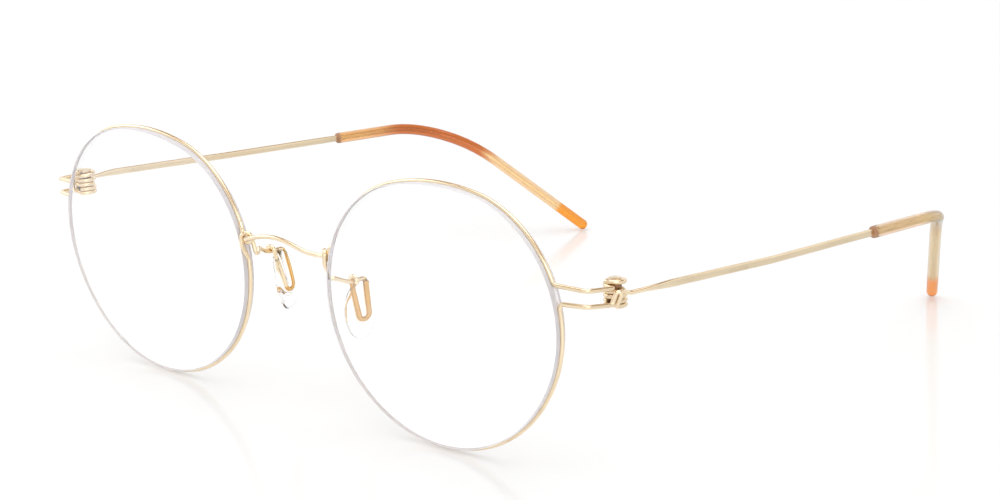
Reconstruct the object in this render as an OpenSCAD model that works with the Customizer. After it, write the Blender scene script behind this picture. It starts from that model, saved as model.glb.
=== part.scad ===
// Round wire eyeglasses with wound-wire hinges. Millimetres, +Z up, the front faces -Y.
// Each piece is drawn for the wearer's left side (+X) and mirrored for the right.

/* [Lens] */
// Width of one lens
lens_w = 50; // [48:0.5:52]
// Amount by which the outline's radius at the nose end is under half the lens width
nose_end_less = 4.2; // [3.8:0.1:5]
// Amount by which the outline's radius at the temple end is under half the lens width
temple_end_less = 5.2; // [4.6:0.1:6]
// Amount by which the outline's radius along the top is over half the lens width
top_more = 16.5; // [11:0.5:25]
// Amount by which the outline's radius along the bottom is over half the lens width
bottom_more = 1.2; // [0.8:0.1:4]
// Height of the temple end's centre above the nose end's
end_rise = 1.3; // [0.5:0.1:2]
// Space between the two lenses across the nose
bridge_gap = 20.8; // [20.2:0.1:22]
// Thickness of a lens
lens_t = 2.1; // [1.9:0.1:2.6]
// Radius of a lens's front surface
lens_curve_r = 150; // [130:5:220]
// Angle by which each lens turns back towards its temple
lens_wrap = 1.3; // [0.8:0.1:2]

/* [Wire] */
// Diameter of the frame wire
wire_d = 0.75; // [0.7:0.01:0.77]
// Depth of the groove in a lens's edge
groove_depth = 0.3; // [0.25:0.01:0.34]
// Clearance between a wire and the groove, loop or pad that holds it
seat_gap = 0.04; // [0.035:0.005:0.05]

/* [Bridge] */
// Rise of the bridge's arch over its ends
bridge_rise = 2.05; // [1.6:0.05:2.6]
// Distance by which the bridge stands forward of its ends
bridge_forward = 2.4; // [2:0.1:2.8]
// Half the distance between the two rim eyes that hold the bridge
eye_x = 9.85; // [9.7:0.05:10]
// Height of the rim eyes over the middle of the lenses
eye_z = 5.9; // [5.5:0.1:6.3]

/* [Nose pads] */
// Height of a nose pad
pad_h = 10.9; // [10.4:0.1:11.6]
// Width of a nose pad
pad_w = 5.7; // [5.3:0.1:6.6]
// Thickness of a nose pad at its middle
pad_t = 2.6; // [2.2:0.1:3]
// Height of a pad's arm over the middle of the lenses, where it meets the pad
pad_z = 1.1; // [0.9:0.1:1.4]
// Distance of a pad's top behind the lens edge
pad_back = 8.1; // [7.8:0.1:8.4]
// Half the distance between the pads' wire loops
pad_x = 10.5; // [10.3:0.05:10.7]
// Angle by which a pad opens towards the back
pad_splay = 13; // [11:1:15]
// Angle by which the foot of the left pad leans back
pad_lean_left = 13; // [9:1:16]
// Angle by which the foot of the right pad leans back
pad_lean_right = 25; // [21:1:28]
// Height added to the left pad as it is bent to the wearer's nose
pad_lift_left = -0.8; // [-1:0.1:1]
// Height added to the right pad as it is bent to the wearer's nose
pad_lift_right = 0.8; // [-1:0.1:1]

/* [Hinge] */
// Distance of a hinge axis outside the lens
hinge_out = 4.35; // [4:0.05:5]
// Distance of a hinge axis behind the lens edge
hinge_y = 9.6; // [9.2:0.1:10.2]
// Height of a hinge's middle over the middle of the lenses
hinge_z = 6.55; // [6.3:0.05:6.8]
// Radius of the hinge coils at the middle of the wire
coil_r = 1.5; // [1.46:0.01:1.54]
// Free height between the turns of one coil
turn_gap = 0.03; // [0.03:0.01:0.05]
// Free height between the coils of the front and of the temple
coil_gap = 0.06; // [0.05:0.01:0.09]
// Clearance between a hinge pin and the coils round it
pin_gap = 0.06; // [0.05:0.01:0.09]

/* [Temple] */
// Drop of the left temple below its coil's middle a little way behind the hinge
bow_drop_left = 0.14; // [0:0.02:0.3]
// Drop of the right temple below its coil's middle a little way behind the hinge
bow_drop_right = 0.56; // [0.4:0.02:0.7]
// Height of the flattened temple blade
blade_h = 1.25; // [1.1:0.05:1.35]
// Thickness of the flattened temple blade
blade_t = 0.6; // [0.5:0.05:0.7]
// Distance of the temple's bend over the ear behind the lens edge
ear_y = 95; // [88:1:105]
// Length of the temple behind the bend over the ear
tail_len = 44; // [41:0.5:47]
// Diameter of a temple tip
tip_d = 2.15; // [2:0.05:2.5]
// Distance of a temple tip's open end behind the lens edge
tip_y = 74; // [66:1:80]
// Length of solid tip behind the end of the blade
tip_solid = 7.5; // [5:0.5:10]

/* [Hidden] */

gold = "#d9bf94";
amber = "#f0963c";
clear = "#dfe6ea";

up = [0, 0, 1];
wire_r = wire_d / 2;
wire_sides = 8;
tip_sides = 16;
turn_step = 20;
bend_step = 24;
flatness = 0.02;

// ---- Vectors and paths ----

function unit(v) = v / norm(v);
function mix(a, b, t) = a + (b - a) * t;
function clamp01(t) = min(max(t, 0), 1);

// Points along a round bend at corner b on the way from a to c.
function bend(a, b, c, r) =
    let (
        back = unit(a - b),
        on = unit(c - b),
        half = acos(back * on) / 2,
        first = b + back * r / tan(half),
        centre = b + unit(back + on) * r / sin(half),
        turn = 180 - 2 * half,
        n = max(2, ceil(turn / min(bend_step, 2 * acos(1 - flatness / r))))
    )
    [for (i = [0:n]) centre + cos(turn * i / n) * (first - centre) - sin(turn * i / n) * r * back];

// Round bends at each inner corner of a route; the two ends are left out.
function bends(route, radii) = [
    for (i = [1:len(route) - 2]) each bend(route[i - 1], route[i], route[i + 1], radii[i - 1])
];

// Direction of a path at each of its points.
function headings(path) = [
    for (i = [0:len(path) - 1]) unit(path[min(i + 1, len(path) - 1)] - path[max(i - 1, 0)])
];

// Part of n that is square to the heading t.
function squared(n, t) = unit(n - (n * t) * t);

// Cross-wise direction at each point, carried along the path without twist.
function carried(t, n0) = [
    for (i = 0, n = squared(n0, t[0]); i < len(t); n = squared(n, t[min(i + 1, len(t) - 1)]), i = i + 1) n
];

// Level cross-wise direction at each point of a path that is never upright.
function level(t) = [for (h = t) unit(cross(h, up))];

// Triangles that join rings of m points into a closed bar of n rings.
function bar_faces(n, m) = concat(
    [for (i = [0:n - 2], k = [0:m - 1]) [i * m + k, (i + 1) * m + k, i * m + (k + 1) % m]],
    [for (i = [0:n - 2], k = [0:m - 1]) [i * m + (k + 1) % m, (i + 1) * m + k, (i + 1) * m + (k + 1) % m]],
    [for (k = [1:m - 2]) [0, k, k + 1]],
    [for (k = [1:m - 2]) [(n - 1) * m, (n - 1) * m + k + 1, (n - 1) * m + k]]
);

// Bar along a path. side gives its cross-wise directions, a and b its half sizes at each point.
module bar(path, side, a, b, sides = wire_sides) {
    t = headings(path);
    corner = 1 / cos(180 / sides);
    polyhedron(
        points = [
            for (i = [0:len(path) - 1], k = [0:sides - 1])
                let (w = (k + 0.5) * 360 / sides)
                path[i] + corner * (a[i] * cos(w) * side[i] + b[i] * sin(w) * cross(t[i], side[i]))
        ],
        faces = bar_faces(len(path), sides)
    );
}

// Round wire along a path.
module wire(path, r = wire_r) {
    rr = [for (p = path) r];
    t = headings(path);
    bar(path, carried(t, abs(t[0] * up) > 0.7 ? [1, 0, 0] : up), rr, rr);
}

// ---- Lens outline: four arcs that run smoothly into each other, u towards the temple, v up ----

nose_end = [-nose_end_less, 0];
temple_end = [temple_end_less, end_rise];
nose_end_r = lens_w / 2 - nose_end_less;
temple_end_r = lens_w / 2 - temple_end_less;
top_r = lens_w / 2 + top_more;
bottom_r = lens_w / 2 + bottom_more;

// Centre of a long arc that runs smoothly into both ends; s is 1 for the top, -1 for the bottom.
function long_centre(r, s) =
    let (
        d = temple_end - nose_end,
        along = (pow(r - nose_end_r, 2) - pow(r - temple_end_r, 2) + d * d) / (2 * norm(d)),
        off = sqrt(pow(r - nose_end_r, 2) - along * along),
        e = unit(d)
    )
    nose_end + along * e + s * off * [e[1], -e[0]];

top_centre = long_centre(top_r, 1);
bottom_centre = long_centre(bottom_r, -1);

function angle_of(v) = atan2(v[1], v[0]);
top_a0 = angle_of(temple_end - top_centre);
top_a1 = angle_of(nose_end - top_centre);
bottom_a0 = angle_of(nose_end - bottom_centre) + 360;
bottom_a1 = angle_of(temple_end - bottom_centre) + 360;

// Each arc is [centre, radius, first angle, last angle].
arcs = [
    [temple_end, temple_end_r, bottom_a1 - 360, top_a0],
    [top_centre, top_r, top_a0, top_a1],
    [nose_end, nose_end_r, top_a1, bottom_a0],
    [bottom_centre, bottom_r, bottom_a0, bottom_a1]
];
lens_up = top_centre[1] + top_r;
lens_down = bottom_r - bottom_centre[1];
edge_r = (lens_w + lens_up + lens_down) / 4;

// Wire centre line beside the lens edge.
rim_off = wire_r - groove_depth;
rim_t = lens_t * 2 / 3;
rim_step = 1.8;

lens_x = (bridge_gap + lens_w) / 2;

// Place of a lens's front surface at distance d from its middle, back from the lens edge.
function sag(d) = sqrt(pow(lens_curve_r, 2) - pow(edge_r, 2)) - sqrt(pow(lens_curve_r, 2) - d * d);

// Point of the front: u towards the temple, v up and t back from the lens edge.
function front_point(u, v, t) = [
    lens_x + u * cos(lens_wrap) - t * sin(lens_wrap), u * sin(lens_wrap) + t * cos(lens_wrap), v
];

function arc_at(a) =
    let (b = a > bottom_a1 ? a - 360 : a)
    [for (arc = arcs) if (b >= arc[2] && b <= arc[3]) arc][0];

// Point of the rim's centre line whose outward direction is at angle a.
function rim_point(a) =
    let (arc = arc_at(a), p = arc[0] + (arc[1] + rim_off) * [cos(a), sin(a)])
    front_point(p[0], p[1], rim_t);

// Direction of the rim at angle a, turning from the temple over the top.
function rim_heading(a) = unit(front_point(-sin(a), cos(a), 0) - front_point(0, 0, 0));

// Outward directions of the stations round the rim, evenly spaced along the wire.
rim_angles = [for (a = 0; a < 358; a = a + rim_step / (arc_at(a)[1] + rim_off) * 180 / PI) a];

// Points of the rim between angles a and b.
function rim_run(a, b) = [
    for (turn = [0, 360], x = rim_angles) if (x + turn > a + 1 && x + turn < b - 1) rim_point(x)
];

// ---- Hinge: places are measured from the hinge's middle, x outwards, y back ----

hinge_x = lens_x + lens_w / 2 + hinge_out;
hinge = [hinge_x, hinge_y, hinge_z];
pitch = wire_d + turn_gap;
temple_level = pitch / 2;
front_level = temple_level + wire_d + coil_gap;

function on_coil(a, z) = hinge + [coil_r * cos(a), coil_r * sin(a), z];
function coil_heading(a) = [-sin(a), cos(a), 0];

// Half of the way from one level to the next, eased at both ends.
function eased(t) = (1 - cos(180 * clamp01(t))) / 2;

// Front's upper coil: it starts in front and climbs clockwise as a helix to a cut end.
upper_a0 = -105;
upper_turn = 365;
upper_rise = 335;
upper_n = ceil(upper_turn / turn_step);
upper_coil = [
    for (i = [0:upper_n])
        let (a = upper_turn * i / upper_n)
        on_coil(upper_a0 - a, front_level + pitch * clamp01(a / upper_rise))
];

// Front's lower coil: it starts outside and winds anticlockwise in two level turns, with one
// eased step between them, to a cut end.
lower_turn = 610;
lower_step_a0 = 245;
lower_step_turn = 90;
lower_z = -front_level - pitch;
lower_n = ceil(lower_turn / turn_step);
lower_coil = [
    for (i = [0:lower_n])
        let (a = lower_turn * i / lower_n)
        on_coil(a, lower_z + pitch * eased((a - lower_step_a0) / lower_step_turn))
];

// Temple's coil: two level turns joined by one eased step up to the way out.
exit_a = -15;
temple_coil_a0 = 150;
step_a0 = 360;
step_turn = 150;
temple_coil_a1 = 720 + exit_a;
temple_coil_n = ceil((temple_coil_a1 - temple_coil_a0) / turn_step);
temple_coil = [
    for (i = [0:temple_coil_n])
        let (a = mix(temple_coil_a0, temple_coil_a1, i / temple_coil_n))
        on_coil(a, mix(-temple_level, temple_level, eased((a - step_a0) / step_turn)))
];

// ---- Rim wire: one wire from the upper coil over the lens, round the bridge, under the lens ----

upper_leave_a = 26;
lower_leave_a = 8;
leave_run = 1.65;
lug_x = hinge_x + 0.25;
lug_y = 2.85;

upper_corner = rim_point(upper_leave_a) - leave_run * rim_heading(upper_leave_a);
upper_lug = [lug_x, lug_y, hinge_z + 1.7];
upper_turn_in = hinge + [1.4, -1.9, front_level];
lower_corner = rim_point(lower_leave_a) + leave_run * rim_heading(lower_leave_a);
lower_lug = [lug_x, lug_y, hinge_z - 0.8];
lower_turn_up = hinge + [1.4, -2.45, -1.3];

// Upright hook that stops the opening temple: places beside the coil, s along it, w out from it.
function beside(s, w, z) = hinge + [(s + w) * sqrt(0.5), (s - w) * sqrt(0.5), z];
hook_w = coil_r + wire_d + 0.09;
hook_top = 0.55;
hook = [
    beside(0.1, hook_w, hook_top),
    beside(0.98, hook_w, hook_top),
    beside(-0.05, hook_w, lower_z + 0.25),
    on_coil(0, lower_z) - 0.4 * coil_heading(0)
];

// Eye round the bridge wire.
eye = [eye_x, 0.3, eye_z];
arch_half = [
    for (i = [1:10])
        let (u = i / 10)
        [
            eye_x * u, eye[1] - bridge_forward * (1 - pow(u, 6)),
            eye_z + bridge_rise * pow(1 - u * u, 1.5)
        ]
];
behind_eye = eye + [0.4, 1.3, 0];
bridge_end = unit(behind_eye - arch_half[8]);
eye_out = unit(cross(bridge_end, up));
eye_up = cross(eye_out, bridge_end);
eye_r = wire_d + 0.1;
eye_pitch = wire_d + turn_gap;
eye_n = 18;
eye_turn = [
    for (a = [0:360 / eye_n:360])
        eye + eye_r * (cos(a) * eye_out - sin(a) * eye_up) + (0.5 - a / 360) * eye_pitch * bridge_end
];
eye_lead = 1.3;
nose_upper_a = 157;
nose_lower_a = 175;

rim_path = concat(
    [for (i = [len(upper_coil) - 1:-1:0]) upper_coil[i]],
    bends(
        [upper_coil[0], upper_turn_in, upper_lug, upper_corner, rim_point(upper_leave_a)],
        [0.45, 1.2, 0.9]
    ),
    rim_run(upper_leave_a, nose_upper_a),
    bends(
        [
            rim_point(nose_upper_a - 3), rim_point(nose_upper_a), eye_turn[0] + eye_lead * eye_up,
            eye_turn[0]
        ],
        [1, 1]
    ),
    eye_turn,
    bends(
        [
            eye_turn[eye_n], eye_turn[eye_n] - eye_lead * eye_up, rim_point(nose_lower_a),
            rim_point(nose_lower_a + 3)
        ],
        [1, 1]
    ),
    rim_run(nose_lower_a + 1, 360 + lower_leave_a),
    bends(
        concat(
            [rim_point(lower_leave_a), lower_corner, lower_lug, lower_turn_up],
            hook, [lower_coil[0]]
        ),
        [0.8, 1.2, 0.5, 0.39, 0.39, 0.4, 0.6]
    ),
    lower_coil
);

// ---- Bridge wire: arch, eyes, hairpins, pad arms and pad loops in one wire ----

// Places on a pad: out along its width towards the back, and up from its middle.
pad_side = [sin(pad_splay), cos(pad_splay), 0];
loop_top = 5.1;
loop_low = 1.96;
loop_top_half = 0.85;
loop_low_half = 0.92;
loop_shift = 0.55;
loop_r = 0.88;
hook_r = wire_d + 0.06;

function pad_up(lean) = squared([0, -sin(lean), cos(lean)], pad_side);
function pad_middle(lift, lean) = [pad_x, pad_back, pad_z + lift] - loop_top * pad_up(lean);
function pad_point(lift, lean, side, high) =
    pad_middle(lift, lean) + side * pad_side + high * pad_up(lean);

// Corners of the wire behind the eye: hairpin, arm, loop in the pad, and hook over the arm.
function pad_route(lift, lean) =
    let (
        arm_mid = eye + [1.1, 5.05, -4.7 + lift],
        loop_back_top = pad_point(lift, lean, loop_top_half, loop_top),
        seat = mix(arm_mid, loop_back_top, 0.25)
    )
    [
        arch_half[8],
        behind_eye,
        eye + [-0.75, 1.35, -3.95 + lift / 2],
        eye + [0.15, 2.6, -3.35 + 1.2 * lift],
        arm_mid,
        loop_back_top,
        pad_point(lift, lean, loop_shift + loop_low_half, -loop_low),
        pad_point(lift, lean, loop_shift - loop_low_half, -loop_low),
        seat + [-hook_r, 0, hook_r],
        seat + [hook_r, 0, hook_r],
        seat + [hook_r, 0, -0.3]
    ];
pad_radii = [0.7, 0.42, 0.6, 3.5, 0.7, loop_r, loop_r, 0.75, 0.75];
function half_bridge(lift, lean) =
    let (route = pad_route(lift, lean))
    concat(arch_half, bends(route, pad_radii), [route[len(route) - 1]]);
left_half = half_bridge(pad_lift_left, pad_lean_left);
right_half = half_bridge(pad_lift_right, pad_lean_right);
bridge_path = concat(
    [for (i = [len(right_half) - 1:-1:0]) [-right_half[i][0], right_half[i][1], right_half[i][2]]],
    [[0, eye[1] - bridge_forward, eye_z + bridge_rise]],
    left_half
);

// ---- Temple ----

exit_point = on_coil(exit_a, temple_level);
dip_from = exit_point + 0.35 * coil_heading(exit_a);
dip_point = exit_point + 1.7 * coil_heading(exit_a) - [0, 0, temple_level + 0.2];
function bow_point(drop) = exit_point + 8.1 * coil_heading(exit_a) - [0, 0, temple_level + drop];
mid_point = [hinge_x + 2.85, 45, hinge_z - 2.9];
ear_point = [hinge_x + 1.3, ear_y, hinge_z - 6.75];
tail_share = 0.304;
tail_point = ear_point + tail_len * tail_share * unit([-7.55, 10.1, -4.77]);
tail_way = unit([-14.12, 19.4, -20.76]);
tip_end = tail_point + tail_len * (1 - tail_share) * tail_way;
core_end = tip_end - (tip_solid - tip_d / 2) * tail_way;
ear_r = tail_len * 0.43;
tail_r = tail_len * 0.82;
temple_radii = [1, 2, 20, 120, ear_r, tail_r];
function temple_path(drop) = concat(
    temple_coil,
    bends(
        [
            exit_point, dip_from, dip_point, bow_point(drop), mid_point, ear_point, tail_point,
            core_end
        ],
        temple_radii
    ),
    [core_end]
);
tip_mouth = mix(mid_point, ear_point, (tip_y - mid_point[1]) / (ear_y - mid_point[1]));
core_path = concat(
    [tip_mouth - unit(ear_point - mid_point)],
    bends([tip_mouth, ear_point, tail_point, core_end], [ear_r, tail_r]),
    [core_end + seat_gap * tail_way]
);
blade_y0 = hinge_y + 3;
blade_y1 = hinge_y + 10;

// ---- The way it stands: on the lower rims and the two temple tips ----

foot = [rim_t, -(lens_down + rim_off)];
heel = [tip_end[1], tip_end[2]];
reach = heel - foot;
tilt = asin((tip_d / 2 - wire_r) / norm(reach)) - atan2(reach[1], reach[0]);
lift = wire_r - foot[0] * sin(tilt) - foot[1] * cos(tilt);
front_y = (eye[1] - bridge_forward) * cos(tilt) - (eye_z + bridge_rise) * sin(tilt) - wire_r;
back_y = heel[0] * cos(tilt) - heel[1] * sin(tilt) + tip_d / 2;

module standing() {
    translate([0, -(front_y + back_y) / 2, lift])
        rotate([tilt, 0, 0])
            children();
}

module mirrored() {
    mirror([1, 0, 0]) children();
}

// ---- Placing by axes ----

module place(x, y, z, at) {
    multmatrix([
        [x[0], y[0], z[0], at[0]], [x[1], y[1], z[1], at[1]], [x[2], y[2], z[2], at[2]]
    ])
        children();
}

// ---- Pieces ----

// A lens from rings round its outline: front surface, grooved edge and back surface.
module lens() {
    n = len(rim_angles);
    // Places across the edge: outwards from the outline, and back from the groove's middle.
    flat = wire_r + seat_gap;
    corner = flat * tan(180 / wire_sides);
    groove = [
        [0, -flat], [rim_off - corner, -flat], [rim_off - flat, -corner],
        [rim_off - flat, corner], [rim_off - corner, flat], [0, flat]
    ];
    shares = [0.4, 0.75, 1];
    rings = concat(
        [for (k = shares) [k, 0, 0]],
        [for (g = groove) [1, g[0], rim_t + g[1]]],
        [for (i = [len(shares) - 1:-1:0]) [shares[i], 0, lens_t]]
    );
    points = [
        for (ring = rings, a = rim_angles)
            let (
                arc = arc_at(a),
                p = ring[0] * (arc[0] + (arc[1] + ring[1]) * [cos(a), sin(a)]),
                on_edge = ring[2] > 0 && ring[2] < lens_t
            )
            front_point(p[0], p[1], on_edge ? ring[2] : ring[2] + sag(norm(p)))
    ];
    last = len(rings) - 1;
    color(clear)
        polyhedron(
            points = concat(points, [front_point(0, 0, sag(0)), front_point(0, 0, sag(0) + lens_t)]),
            faces = concat(
                [
                    for (i = [0:last - 1], k = [0:n - 1])
                        each [
                            [i * n + k, i * n + (k + 1) % n, (i + 1) * n + k],
                            [i * n + (k + 1) % n, (i + 1) * n + (k + 1) % n, (i + 1) * n + k]
                        ]
                ],
                [for (k = [0:n - 1]) [len(points), (k + 1) % n, k]],
                [for (k = [0:n - 1]) [len(points) + 1, last * n + k, last * n + (k + 1) % n]]
            )
        );
}

module rim_wire() {
    color(gold) wire(rim_path);
}

module bridge_wire() {
    color(gold) wire(bridge_path);
}

module pad_outline() {
    polygon([
        for (a = [0:10:350])
            [pad_w / 2 * cos(a) * (1 - 0.14 * sin(a)), pad_h / 2 * sin(a)]
    ]);
}

module nose_pad(lift, lean) {
    dome_r = 14;
    back_r = 24;
    nose_side = pad_t * 0.56;
    route = pad_route(lift, lean);
    held = bends([for (i = [4:10]) route[i]], [for (i = [4:8]) pad_radii[i]]);
    color(clear)
        difference() {
            place(-pad_side, pad_up(lean), cross(-pad_side, pad_up(lean)), pad_middle(lift, lean))
                intersection() {
                    translate([0, 0, -pad_t]) linear_extrude(2 * pad_t) pad_outline();
                    translate([0, 0, nose_side - dome_r]) sphere(r = dome_r, $fn = 96);
                    translate([0, 0, nose_side - pad_t + back_r]) sphere(r = back_r, $fn = 96);
                }
            wire(concat([route[4]], held, [route[10]]), wire_r + seat_gap);
        }
}

module hinge_pin() {
    r = coil_r - wire_r - pin_gap;
    bottom = lower_z - wire_r;
    top = front_level + pitch + wire_r;
    end_r = 4.5;
    color(gold)
        translate(hinge)
            intersection() {
                translate([0, 0, bottom]) cylinder(r = r, h = top - bottom, $fn = 48);
                translate([0, 0, top - end_r]) sphere(r = end_r, $fn = 96);
                translate([0, 0, bottom + end_r]) sphere(r = end_r, $fn = 96);
            }
}

module temple_wire(drop) {
    path = temple_path(drop);
    blend = [for (p = path) clamp01((p[1] - blade_y0) / (blade_y1 - blade_y0))];
    color(gold)
        bar(
            path, level(headings(path)),
            [for (t = blend) mix(wire_r, blade_t / 2, t)],
            [for (t = blend) mix(wire_r, blade_h / 2, t)]
        );
}

// Straight round rod from a to b, with a ball end at b if that is asked for.
module straight_rod(a, b, d, ball = false) {
    z = unit(b - a);
    x = unit(cross(up, z));
    l = norm(b - a);
    place(x, cross(z, x), z, a)
        rotate_extrude($fn = 64)
            intersection() {
                union() {
                    square([d / 2, l]);
                    if (ball) translate([0, l]) circle(d = d, $fn = 64);
                }
                square([d / 2, l + d]);
            }
}

module temple_tip() {
    lap = 0.3;
    bent_r = (tip_d / 2 - 0.01) * cos(180 / tip_sides);
    to_ear = unit(ear_point - tip_mouth);
    bent = bends([tip_mouth, ear_point, tail_point, tip_end], [ear_r, tail_r]);
    bent_start = bent[0];
    bent_end = bent[len(bent) - 1];
    lapped = concat([bent_start - lap * to_ear], bent, [bent_end + lap * tail_way]);
    radii = [for (p = lapped) bent_r];
    color(amber)
        difference() {
            union() {
                straight_rod(tip_mouth, bent_start, tip_d);
                bar(lapped, level(headings(lapped)), radii, radii, tip_sides);
                straight_rod(bent_end, tip_end, tip_d, true);
            }
            bar(
                core_path, level(headings(core_path)),
                [for (p = core_path) blade_t / 2 + seat_gap],
                [for (p = core_path) blade_h / 2 + seat_gap]
            );
        }
}

standing() lens();  // lens_left
standing() mirrored() lens();  // lens_right
standing() rim_wire();  // rim_wire_left
standing() mirrored() rim_wire();  // rim_wire_right
standing() bridge_wire();
standing() nose_pad(pad_lift_left, pad_lean_left);  // nose_pad_left
standing() mirrored() nose_pad(pad_lift_right, pad_lean_right);  // nose_pad_right
standing() hinge_pin();  // hinge_pin_left
standing() mirrored() hinge_pin();  // hinge_pin_right
standing() temple_wire(bow_drop_left);  // temple_wire_left
standing() mirrored() temple_wire(bow_drop_right);  // temple_wire_right
standing() temple_tip();  // temple_tip_left
standing() mirrored() temple_tip();  // temple_tip_right
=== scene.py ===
# %% [markdown]
# # Round wire eyeglasses
# Two clear lenses are held in thin gold wire, and the same wire is wound into the hinges,
# wrapped round the bridge and bent into loops for the nose pads. The temples are one wire
# each, flattened behind the hinge and pushed into amber plastic tips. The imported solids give
# every piece its place and size. They are drawn here once more with rounder sections and
# finer curves, because the eye follows a highlight along a wire and sees every facet.

# %% Load the fixed frame
import math

import bpy
import numpy as np
from mathutils import Matrix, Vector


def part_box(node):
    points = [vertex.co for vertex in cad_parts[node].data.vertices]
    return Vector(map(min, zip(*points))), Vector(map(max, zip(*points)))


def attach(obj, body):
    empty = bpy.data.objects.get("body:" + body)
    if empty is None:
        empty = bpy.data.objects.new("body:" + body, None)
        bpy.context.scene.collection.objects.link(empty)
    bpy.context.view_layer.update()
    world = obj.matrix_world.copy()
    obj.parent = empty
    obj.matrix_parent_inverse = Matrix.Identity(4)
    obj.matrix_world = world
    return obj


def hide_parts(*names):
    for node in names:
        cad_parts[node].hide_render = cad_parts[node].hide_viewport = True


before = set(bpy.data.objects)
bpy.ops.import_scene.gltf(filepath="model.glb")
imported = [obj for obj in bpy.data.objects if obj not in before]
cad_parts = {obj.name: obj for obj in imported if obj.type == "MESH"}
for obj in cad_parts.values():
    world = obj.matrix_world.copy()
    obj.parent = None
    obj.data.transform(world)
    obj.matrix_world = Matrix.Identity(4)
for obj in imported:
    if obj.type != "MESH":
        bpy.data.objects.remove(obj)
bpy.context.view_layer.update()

print("solids:", sorted(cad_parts))

# %% [markdown]
# ## Sizes of the real object
# A wire maker works from a few sizes: the wire's gauge, the lens's size and how far its
# outline is from a circle, and where the hinges and pads lie. All lengths are in millimetres
# and are measured on the front: x runs out from the middle of the nose, y back from the lens
# edge and z up from the middle of the lenses. Angles are in degrees.

# %% Sizes of lens and wire
lens_w, lens_t, lens_curve_r, lens_wrap, bridge_gap = 50.0, 2.1, 150.0, 1.3, 20.8
nose_end_less, temple_end_less, top_more, bottom_more, end_rise = 4.2, 5.2, 16.5, 1.2, 1.3
wire_d, groove_depth, seat_gap, turn_gap, coil_gap = 0.75, 0.3, 0.04, 0.03, 0.06
wire_r = wire_d / 2
rim_off, rim_t = wire_r - groove_depth, lens_t * 2 / 3
lens_x = (bridge_gap + lens_w) / 2
print(f"lens {lens_w} mm wide, wire {wire_d} mm thick")

# %% Sizes of bridge, pads, hinges and temples
eye = np.array([9.85, 0.3, 5.9])
bridge_rise, bridge_forward = 2.05, 2.4
pad_h, pad_w, pad_t, pad_z, pad_back, pad_x, pad_splay = 10.9, 5.7, 2.6, 1.1, 8.1, 10.5, 13.0
pad_bend = {"left": (-0.8, 13.0), "right": (0.8, 25.0)}
hinge = np.array([lens_x + lens_w / 2 + 4.35, 9.6, 6.55])
coil_r, bow_drop = 1.5, {"left": 0.14, "right": 0.56}
pitch = wire_d + turn_gap
temple_level = pitch / 2
front_level = temple_level + wire_d + coil_gap
blade_h, blade_t, core_h, core_t = 1.25, 0.6, 0.6, 0.5
ear_y, tail_len, bend_share = 95.0, 44.0, 0.304
tip_d, tip_y, tip_solid, ear_r, tail_r = 2.15, 74.0, 7.5, tail_len * 0.43, tail_len * 0.82
print("hinge axis at", hinge.round(2))

# %% [markdown]
# ## Bending wire
# A wire former clamps the wire, bends it round a peg, feeds it on and bends it again. The
# same plan makes a path here: a short list of corners, each with the radius of its peg.
# Everything between two corners is a straight run, and every corner is a true arc, which is
# why this is not a curve object with handles: handles only come close to an arc.

# %% Arcs at the corners of a route
def unit(v):
    """Each vector divided by its length."""
    v = np.asarray(v, float)
    return v / np.linalg.norm(v, axis=-1, keepdims=True)


def mix(a, b, t):
    """The value a share t of the way from a to b."""
    return a + (b - a) * t


def bend(a, b, c, r, step=5.0):
    """Arc of radius r that rounds corner b between a and c.

    The centre lies on the corner's bisector at r / sin(half the inner angle). A point is
    the centre plus cos(t) times the first spoke minus sin(t) times r along the way back."""
    back, on = unit(a - b), unit(c - b)
    half = math.acos(float(np.clip(back @ on, -1, 1))) / 2
    first = b + back * r / math.tan(half)
    centre = b + unit(back + on) * r / math.sin(half)
    turn = math.pi - 2 * half
    t = np.linspace(0, turn, max(4, math.ceil(math.degrees(turn) / step)) + 1)[:, None]
    return centre + np.cos(t) * (first - centre) - np.sin(t) * r * back


def bends(route, radii):
    """Arcs at all inner corners of a route, one after the other."""
    route = [np.asarray(p, float) for p in route]
    return np.concatenate([bend(*route[i:i + 3], r) for i, r in enumerate(radii)])


def dense(path, longest):
    """Path with extra points, so that no stretch is over the given length."""
    step = np.diff(path, axis=0)
    parts = np.ceil(np.linalg.norm(step, axis=1) / longest).astype(int)
    start = np.repeat(np.arange(len(step)), parts)
    share = (np.arange(parts.sum()) - np.repeat(np.cumsum(parts) - parts, parts)) / parts[start]
    return np.concatenate([path[start] + share[:, None] * step[start], path[-1:]])


print("a right angle round a 1 mm peg has", len(bend(*np.eye(3), 1.0)), "points")

# %% [markdown]
# ## Carrying a section along the path
# A tube needs a cross-wise direction at each point of its path. If that direction spins, the
# skin twists into a candy wrapper, so each direction is turned back by the angle that it has
# gained on the way. The gained angles are a running sum, so the whole wire is done at once.
# A flattened temple must keep its flat side upright instead, and uses level directions.

# %% Directions along a path
def headings(path):
    """Direction at each point, from the point before to the point after."""
    around = np.concatenate([path[:1], path, path[-1:]])
    return unit(around[2:] - around[:-2])


def steady(t):
    """Cross-wise directions that don't spin about the path.

    Any square direction is taken at each point. The angle between it and the one carried
    over from the point before is summed along the path, and each is turned by that sum."""
    n = unit(np.cross(t, np.eye(3)[np.abs(t).argmin(1)]))
    b = np.cross(t, n)
    over = n[:-1] - (n[:-1] * t[1:]).sum(1, keepdims=True) * t[1:]
    gained = np.arctan2((over * b[1:]).sum(1), (over * n[1:]).sum(1))
    turn = np.concatenate([[0], np.cumsum(gained)])[:, None]
    return np.cos(turn) * n + np.sin(turn) * b


def level(t):
    """Level cross-wise directions of a path that is never upright."""
    return unit(np.cross(t, [0, 0, 1.0]))


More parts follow.
